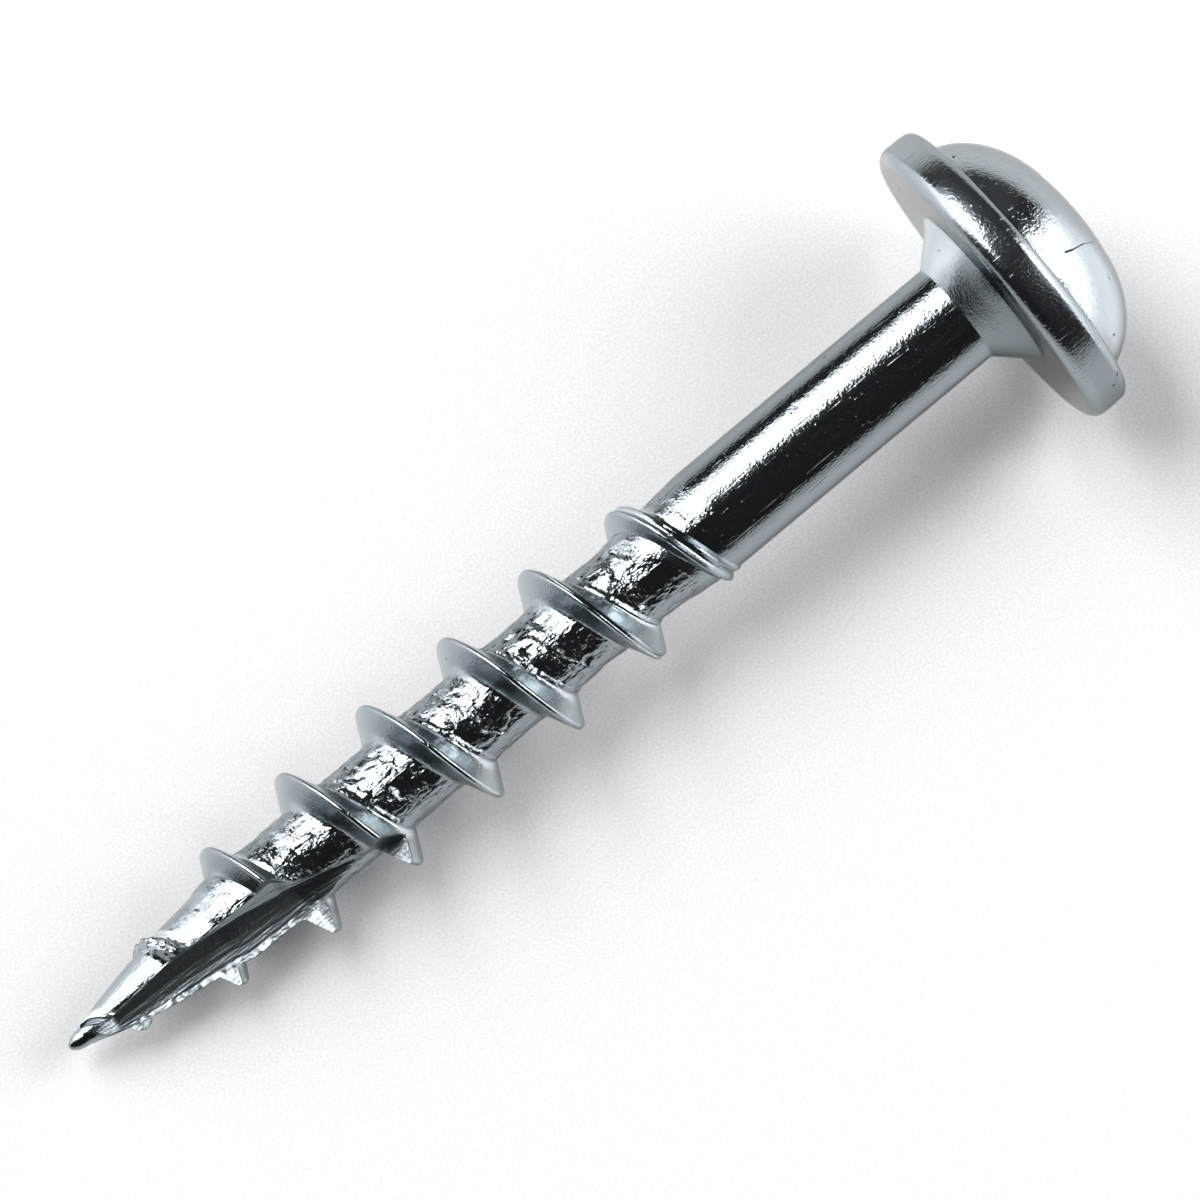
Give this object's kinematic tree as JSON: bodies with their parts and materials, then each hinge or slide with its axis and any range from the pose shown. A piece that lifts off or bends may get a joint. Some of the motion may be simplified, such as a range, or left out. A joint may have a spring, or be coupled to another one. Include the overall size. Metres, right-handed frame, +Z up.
{
  "type": "pocket hole screw",
  "caption": "Washer-head wood screw with a plain shank, a coarse thread, a fluted auger point and a square drive recess, for joining boards through angled pocket holes.",
  "frame": {"origin": "on the ground under the middle of the lying screw: the middle of its box in X and Y, and its lowest points, one on the washer's rim and one on a crest of the thread", "axes": "+X runs along the lying screw from the point to the head, whose axis climbs by 5.85 degrees toward the head; +Z is up; the auger flute opens upward and toward -Y"},
  "size_m": [0.0348, 0.0092, 0.0092],
  "materials": {
    "zinc_plate": "bright zinc plate with a faint blue tint"
  },
  "bodies": {
    "root": {"screw": "zinc_plate"}
  },
  "joints": []
}
